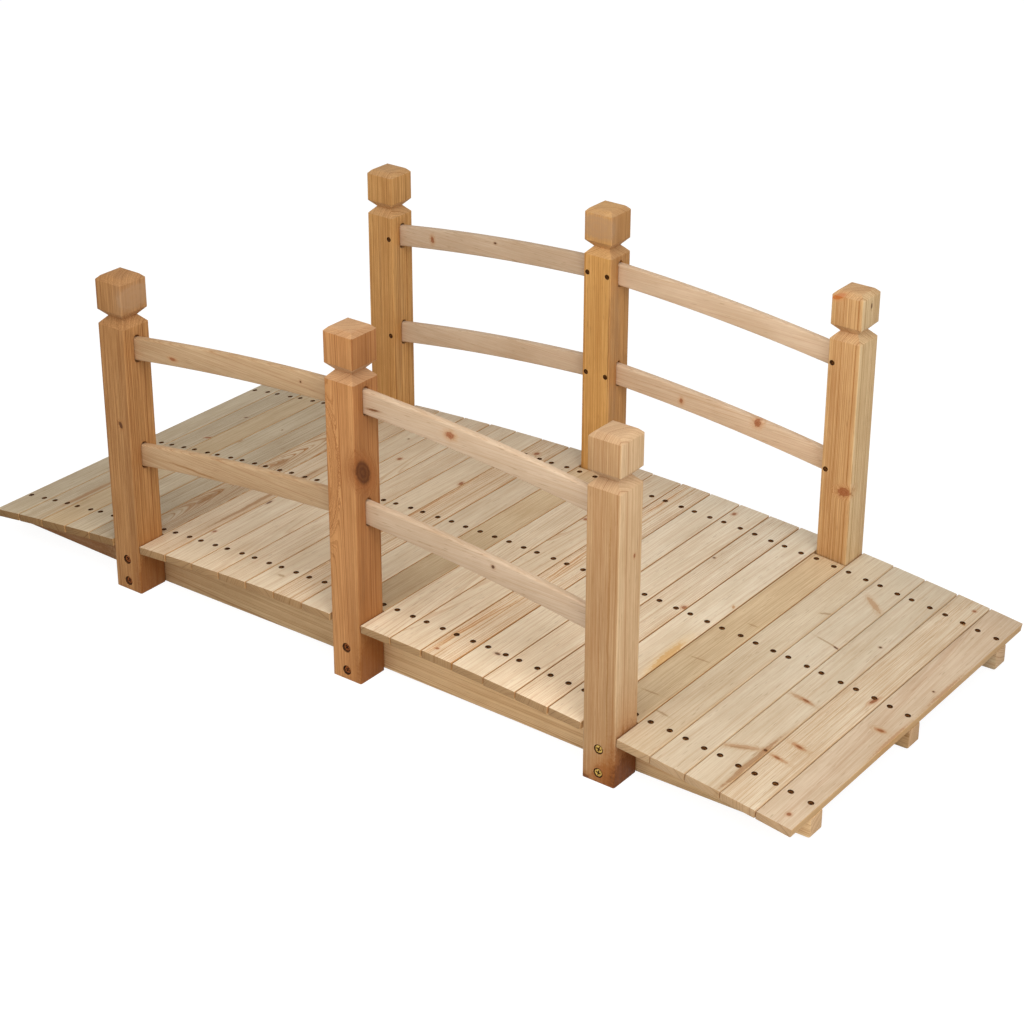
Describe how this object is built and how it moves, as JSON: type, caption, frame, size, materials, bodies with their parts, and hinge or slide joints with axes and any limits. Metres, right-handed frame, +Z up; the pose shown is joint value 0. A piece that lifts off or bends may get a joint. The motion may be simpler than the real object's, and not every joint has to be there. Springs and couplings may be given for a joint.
{
  "type": "small arched garden footbridge",
  "caption": "Small arched garden footbridge of plain fir with a plank deck, curved boards under it and post and rail sides.",
  "frame": {"origin": "on the ground under the middle of the bridge", "axes": "+X along the bridge, +Y across it from the front railing to the back railing, +Z up"},
  "size_m": [1.5008, 0.67, 0.551],
  "materials": {
    "post_wood": "bare planed fir",
    "rail_wood": "bare planed fir",
    "stringer_wood": "bare planed fir",
    "deck_wood": "bare planed fir",
    "yellow_zinc": "yellow passivated zinc",
    "dark_screw": "dark screw steel"
  },
  "bodies": {
    "root": {"post_front_left": "post_wood", "post_front_middle": "post_wood", "post_front_right": "post_wood", "post_back_left": "post_wood", "post_back_middle": "post_wood", "post_back_right": "post_wood", "rail_front_left_upper": "rail_wood", "rail_front_left_lower": "rail_wood", "rail_front_right_upper": "rail_wood", "rail_front_right_lower": "rail_wood", "rail_back_left_upper": "rail_wood", "rail_back_left_lower": "rail_wood", "rail_back_right_upper": "rail_wood", "rail_back_right_lower": "rail_wood", "stringer_front": "stringer_wood", "stringer_middle": "stringer_wood", "stringer_back": "stringer_wood", "plank_01": "deck_wood", "plank_02": "deck_wood", "plank_03": "deck_wood", "plank_04": "deck_wood", "plank_05": "deck_wood", "plank_06": "deck_wood", "plank_07": "deck_wood", "plank_08": "deck_wood", "plank_09": "deck_wood", "plank_10": "deck_wood", "plank_11": "deck_wood", "plank_12": "deck_wood", "plank_13": "deck_wood", "plank_14": "deck_wood", "plank_15": "deck_wood", "plank_16": "deck_wood", "plank_17": "deck_wood", "plank_18": "deck_wood", "plank_19": "deck_wood", "plank_20": "deck_wood", "plank_21": "deck_wood", "plank_22": "deck_wood", "plank_23": "deck_wood", "plank_24": "deck_wood", "plank_25": "deck_wood", "plank_26": "deck_wood", "plank_27": "deck_wood"}
  },
  "joints": []
}
